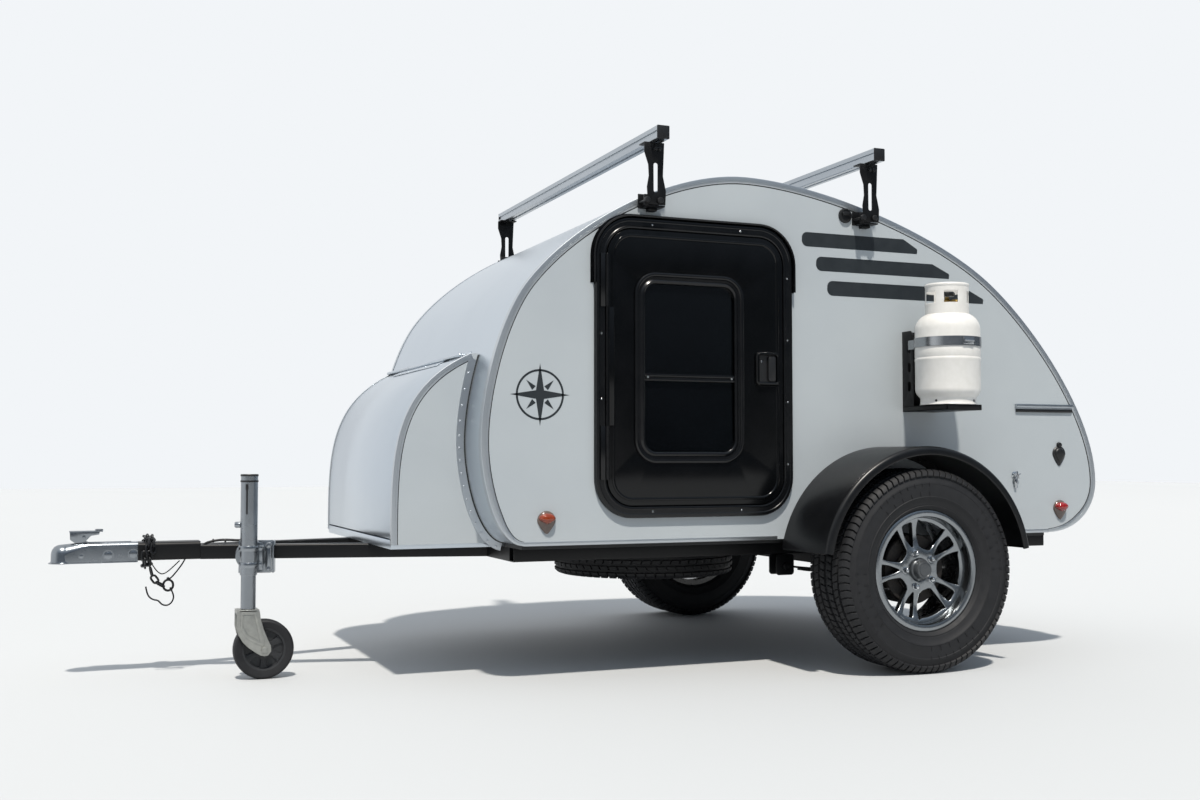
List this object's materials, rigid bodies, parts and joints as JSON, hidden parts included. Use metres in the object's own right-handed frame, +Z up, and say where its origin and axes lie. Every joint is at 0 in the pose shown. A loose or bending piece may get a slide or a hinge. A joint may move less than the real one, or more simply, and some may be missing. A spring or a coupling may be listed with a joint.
{
  "type": "teardrop camping trailer",
  "caption": "Small teardrop camping trailer with side doors, rear galley hatch, nose box, roof bars, gas bottle and swing-up jockey wheel.",
  "frame": {"origin": "on the ground, under the middle of the overall length and width", "axes": "+X towards the coupling, +Y to the left side of the trailer, +Z up"},
  "size_m": [3.83, 2.0718, 1.86],
  "materials": {
    "black_steel": "satin black powder coat",
    "galvanised": "zinc plated",
    "black_chain": "black coated chain",
    "black_rubber": "matt",
    "plywood": "clear sealed plywood",
    "white_panel": "satin white aluminium composite",
    "satin_skin": "satin sheet",
    "edge_aluminium": "anodised extrusion",
    "black_door": "black",
    "tinted_glass": "dark tint",
    "black_plastic": "grained black",
    "tyre_rubber": "rubber",
    "wheel_alloy": "machined face with black pockets",
    "grey_steel": "plain steel",
    "cream_paint": "gloss cream paint",
    "stainless": "stainless band",
    "lamp_lens": "clear coloured lens",
    "wheel_plastic": "moulded"
  },
  "bodies": {
    "trailer": {"drawbar_legs": "black_steel", "chassis_rails": "black_steel", "crossmembers": "black_steel", "drawbar_nose": "black_steel", "coupler_body": "galvanised", "coupler_lever": "galvanised", "safety_chain": "black_chain", "plug_lead": "black_rubber", "floor_panel": "plywood", "side_wall_left": "white_panel", "side_wall_right": "white_panel", "roof_shell": "satin_skin", "rear_valance": "satin_skin", "edge_trims": "edge_aluminium", "door_frames": "black_door", "bulkhead": "plywood", "galley_counter": "plywood", "nose_box": "white_panel", "axle_beam": "black_steel", "leaf_springs": "black_steel", "spring_hangers": "black_steel", "fenders": "black_plastic", "spare_tyre": "tyre_rubber", "spare_rim": "grey_steel", "spare_carrier": "black_steel", "roof_bars": "edge_aluminium", "rack_legs": "black_steel", "gas_bottle": "cream_paint", "bottle_collar": "cream_paint", "bottle_bracket": "black_steel", "bottle_strap": "stainless", "side_lamps": "lamp_lens", "wall_fittings": "black_plastic", "jockey_bracket": "galvanised"},
    "wheel_left": {"tyre_left": "tyre_rubber", "rim_left": "wheel_alloy", "hub_left": "grey_steel"},
    "wheel_right": {"tyre_right": "tyre_rubber", "rim_right": "wheel_alloy", "hub_right": "grey_steel"},
    "door_left": {"door_panel_left": "black_door", "door_glass_left": "tinted_glass", "door_latch_left": "black_door"},
    "door_right": {"door_panel_right": "black_door", "door_glass_right": "tinted_glass", "door_latch_right": "black_door"},
    "hatch": {"hatch_panel": "satin_skin", "tail_lamps": "lamp_lens", "hatch_handle": "black_door"},
    "nose_lid": {"box_lid": "satin_skin"},
    "jockey_arm": {"jockey_tube": "galvanised"},
    "jockey_slider": {"jockey_leg": "galvanised"},
    "jockey_castor": {"jockey_fork": "galvanised"},
    "jockey_roller": {"jockey_wheel": "wheel_plastic"}
  },
  "joints": [
    {"name": "wheel_left_spin", "type": "hinge", "parent": "trailer", "child": "wheel_left", "pos_m": [-0.907, 0.909, 0.355], "axis": [0, 1, 0], "continuous": true},
    {"name": "wheel_right_spin", "type": "hinge", "parent": "trailer", "child": "wheel_right", "pos_m": [-0.907, -0.909, 0.355], "axis": [0, 1, 0], "continuous": true},
    {"name": "door_left_hinge", "type": "hinge", "parent": "trailer", "child": "door_left", "pos_m": [0.1965, 0.7695, 1.053], "axis": [0, 0, -1], "range_deg": [0, 110]},
    {"name": "door_right_hinge", "type": "hinge", "parent": "trailer", "child": "door_right", "pos_m": [0.1965, -0.7695, 1.053], "axis": [0, 0, 1], "range_deg": [0, 110]},
    {"name": "hatch_hinge", "type": "hinge", "parent": "trailer", "child": "hatch", "pos_m": [-0.95871, 0, 1.63172], "axis": [0, 1, 0], "range_deg": [0, 75]},
    {"name": "nose_lid_hinge", "type": "hinge", "parent": "trailer", "child": "nose_lid", "pos_m": [0.63586, 0, 1.09436], "axis": [0, -1, 0], "range_deg": [0, 65]},
    {"name": "jockey_swing", "type": "hinge", "parent": "trailer", "child": "jockey_arm", "pos_m": [1.288, 0.225, 0.412], "axis": [-0.2487, -0.9686, 0], "range_deg": [0, 90]},
    {"name": "jockey_wind", "type": "slide", "parent": "jockey_arm", "child": "jockey_slider", "axis": [0, 0, -1], "range_m": [-0.09, 0.15]},
    {"name": "jockey_swivel", "type": "hinge", "parent": "jockey_slider", "child": "jockey_castor", "pos_m": [1.288, 0.225, 0.23], "axis": [0, 0, 1], "continuous": true},
    {"name": "jockey_spin", "type": "hinge", "parent": "jockey_castor", "child": "jockey_roller", "pos_m": [1.236, 0.225, 0.1], "axis": [0, 1, 0], "continuous": true}
  ]
}
